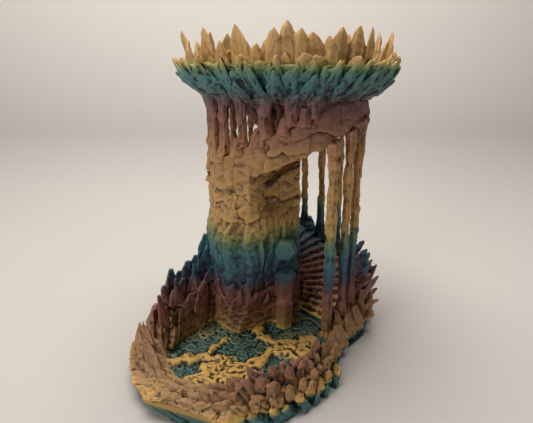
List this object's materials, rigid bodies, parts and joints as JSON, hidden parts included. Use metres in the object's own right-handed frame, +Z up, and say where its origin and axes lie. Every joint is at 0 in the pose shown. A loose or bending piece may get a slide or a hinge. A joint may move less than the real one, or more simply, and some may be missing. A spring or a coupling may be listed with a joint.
{
  "type": "dice tower",
  "caption": "Cavern-shaped dice tower: a crystal crown with a funnel over a spiral stair inside a ring of dripstone columns, which leads down to a walled tray of rock pools",
  "frame": {"origin": "on the axis of the ring of columns, on the flat underside of the base", "axes": "+Z up, -Y from the tower towards the tray"},
  "size_m": [0.1716, 0.2397, 0.2431],
  "materials": {
    "base_stone": "printed in layers, satin",
    "cave_wall": "printed in layers, satin",
    "dripstone_column": "printed in layers, satin",
    "stair_stone": "printed in layers, satin",
    "crown_shell": "printed in layers, satin",
    "crystal_tip": "printed in layers, satin",
    "rim_rock": "printed in layers, satin"
  },
  "bodies": {
    "root": {"base_slab": "base_stone", "pool_floor": "base_stone", "bulkhead": "cave_wall", "wall_front": "cave_wall", "wall_west": "cave_wall", "wall_north": "cave_wall", "wall_east": "cave_wall", "column_01": "dripstone_column", "column_02": "dripstone_column", "column_03": "dripstone_column", "column_04": "dripstone_column", "column_05": "dripstone_column", "column_06": "dripstone_column", "column_07": "dripstone_column", "column_08": "dripstone_column", "column_09": "dripstone_column", "column_10": "dripstone_column", "column_11": "dripstone_column", "column_12": "dripstone_column", "column_13": "dripstone_column", "column_14": "dripstone_column", "column_15": "dripstone_column", "column_16": "dripstone_column", "column_17": "dripstone_column", "column_18": "dripstone_column", "column_19": "dripstone_column", "column_20": "dripstone_column", "central_pillar": "dripstone_column", "pillar_capital": "dripstone_column", "stair_flight_1": "stair_stone", "stair_flight_2": "stair_stone", "stair_flight_3": "stair_stone", "stair_flight_4": "stair_stone", "stair_flight_5": "stair_stone", "stair_flight_6": "stair_stone", "stair_fascia_left": "stair_stone", "stair_fascia_right": "stair_stone", "crown_bowl": "crown_shell", "crown_leaves_front": "crown_shell", "crown_leaves_east": "crown_shell", "crown_leaves_back": "crown_shell", "crown_leaves_west": "crown_shell", "crown_crystals_front": "crystal_tip", "crown_crystals_east": "crystal_tip", "crown_crystals_back": "crystal_tip", "crown_crystals_west": "crystal_tip", "wall_crystal_upper": "crystal_tip", "wall_crystal_middle": "crystal_tip", "wall_crystal_lower": "crystal_tip", "tray_rim_left": "rim_rock", "tray_rim_front": "rim_rock", "tray_rim_right": "rim_rock", "gate_boulders": "rim_rock", "skirt_east": "rim_rock", "skirt_north": "rim_rock", "skirt_west": "rim_rock"}
  },
  "joints": []
}
